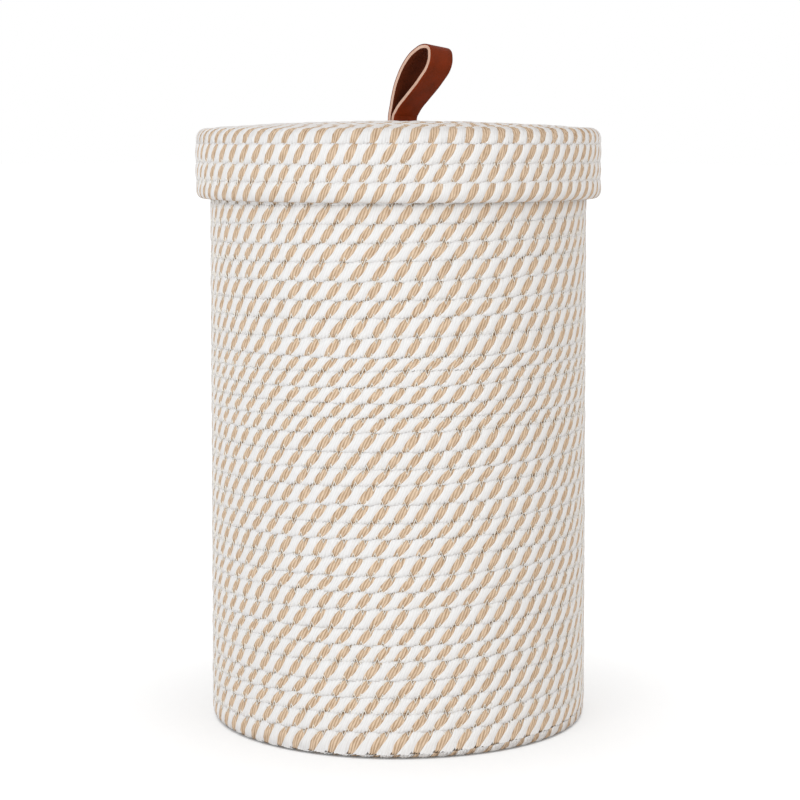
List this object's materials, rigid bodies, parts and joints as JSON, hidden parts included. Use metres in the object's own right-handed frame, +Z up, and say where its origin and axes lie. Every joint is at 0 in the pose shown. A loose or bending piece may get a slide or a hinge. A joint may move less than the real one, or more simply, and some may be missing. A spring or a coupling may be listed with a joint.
{
  "type": "lidded rope basket",
  "caption": "Tall round lidded basket of coiled, stitched two-colour rope, with a cap lid lifted by a folded leather loop.",
  "frame": {"origin": "centre of the underside of the base, on the floor", "axes": "+Z up along the basket's axis, +X the side that the leather loop leans to, Y across the strap"},
  "size_m": [0.2176, 0.2176, 0.3629],
  "materials": {
    "rope": "matte four-strand rope, two strands off-white and two tan, wound and sewn with cream thread",
    "strap_leather": "smooth reddish-brown leather with raw pale edges",
    "strap_thread": "cream waxed sewing thread"
  },
  "bodies": {
    "basket": {"basket_base": "rope", "basket_wall": "rope"},
    "lid": {"lid_top": "rope", "lid_rim": "rope", "handle_tail_left": "strap_leather", "handle_tail_right": "strap_leather", "handle_stitch_left": "strap_thread", "handle_stitch_right": "strap_thread"},
    "handle": {"handle_loop": "strap_leather"}
  },
  "joints": [
    {"name": "lid_lift", "type": "slide", "parent": "basket", "child": "lid", "axis": [0, 0, 1], "range_m": [0, 0.2]},
    {"name": "handle_tilt", "type": "hinge", "parent": "lid", "child": "handle", "pos_m": [0, 0, 0.3255], "axis": [0, 1, 0], "range_deg": [-80, 45], "stiffness_Nm_per_rad": 0.05}
  ]
}
